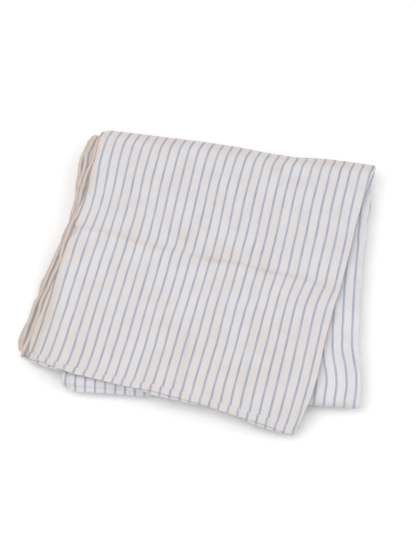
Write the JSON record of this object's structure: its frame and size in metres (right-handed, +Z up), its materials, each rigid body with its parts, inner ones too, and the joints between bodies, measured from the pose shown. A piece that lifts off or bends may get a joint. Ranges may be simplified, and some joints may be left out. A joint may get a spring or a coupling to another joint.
{
  "type": "folded baby wrap sling",
  "caption": "Long hemmed cloth for carrying a baby, folded lengthwise and then fan-folded into a flat stack whose panels open at the folds.",
  "frame": {"origin": "on the underside of the folded stack, at the middle of the folded width", "axes": "+Z up through the stack, +Y along the stripes towards the back folds, +X across the folded width towards the open long edges"},
  "size_m": [0.3569, 0.3263, 0.0286],
  "materials": {
    "cloth": "warm white woven cloth with narrow blue-grey stripes",
    "hem_cloth": "the same cloth, turned twice and sewn flat",
    "sewing_thread": "matt off-white sewing thread"
  },
  "bodies": {
    "base_panel": {"base_strip_1": "cloth", "base_strip_2": "cloth", "base_strip_3": "cloth", "base_strip_4": "cloth", "side_hem_thread_base": "sewing_thread"},
    "bottom_panel": {"bottom_strip_1": "cloth", "bottom_strip_2": "cloth", "bottom_strip_3": "cloth", "bottom_strip_4": "cloth", "side_hem_thread_bottom": "sewing_thread"},
    "middle_panel": {"middle_strip_1": "cloth", "middle_strip_2": "cloth", "middle_strip_3": "cloth", "middle_strip_4": "cloth", "side_hem_thread_middle": "sewing_thread"},
    "top_flap": {"flap_strip_1": "cloth", "flap_strip_2": "cloth", "flap_strip_3": "cloth", "flap_strip_4": "cloth", "end_hem_first": "hem_cloth", "end_hem_last": "hem_cloth", "end_hem_first_thread": "sewing_thread", "end_hem_last_thread": "sewing_thread", "side_hem_thread_flap": "sewing_thread"}
  },
  "joints": [
    {"name": "lower_back_fold", "type": "hinge", "parent": "base_panel", "child": "bottom_panel", "pos_m": [0, 0.136, 0.007], "axis": [1, 0, 0], "range_deg": [0, 180]},
    {"name": "front_fold", "type": "hinge", "parent": "base_panel", "child": "middle_panel", "pos_m": [0, -0.138, 0.0142], "axis": [1, 0, 0], "range_deg": [0, 180]},
    {"name": "upper_back_fold", "type": "hinge", "parent": "middle_panel", "child": "top_flap", "pos_m": [0.0004, 0.14849, 0.0214], "axis": [-0.9983, 0.0576, 0], "range_deg": [0, 180]}
  ]
}
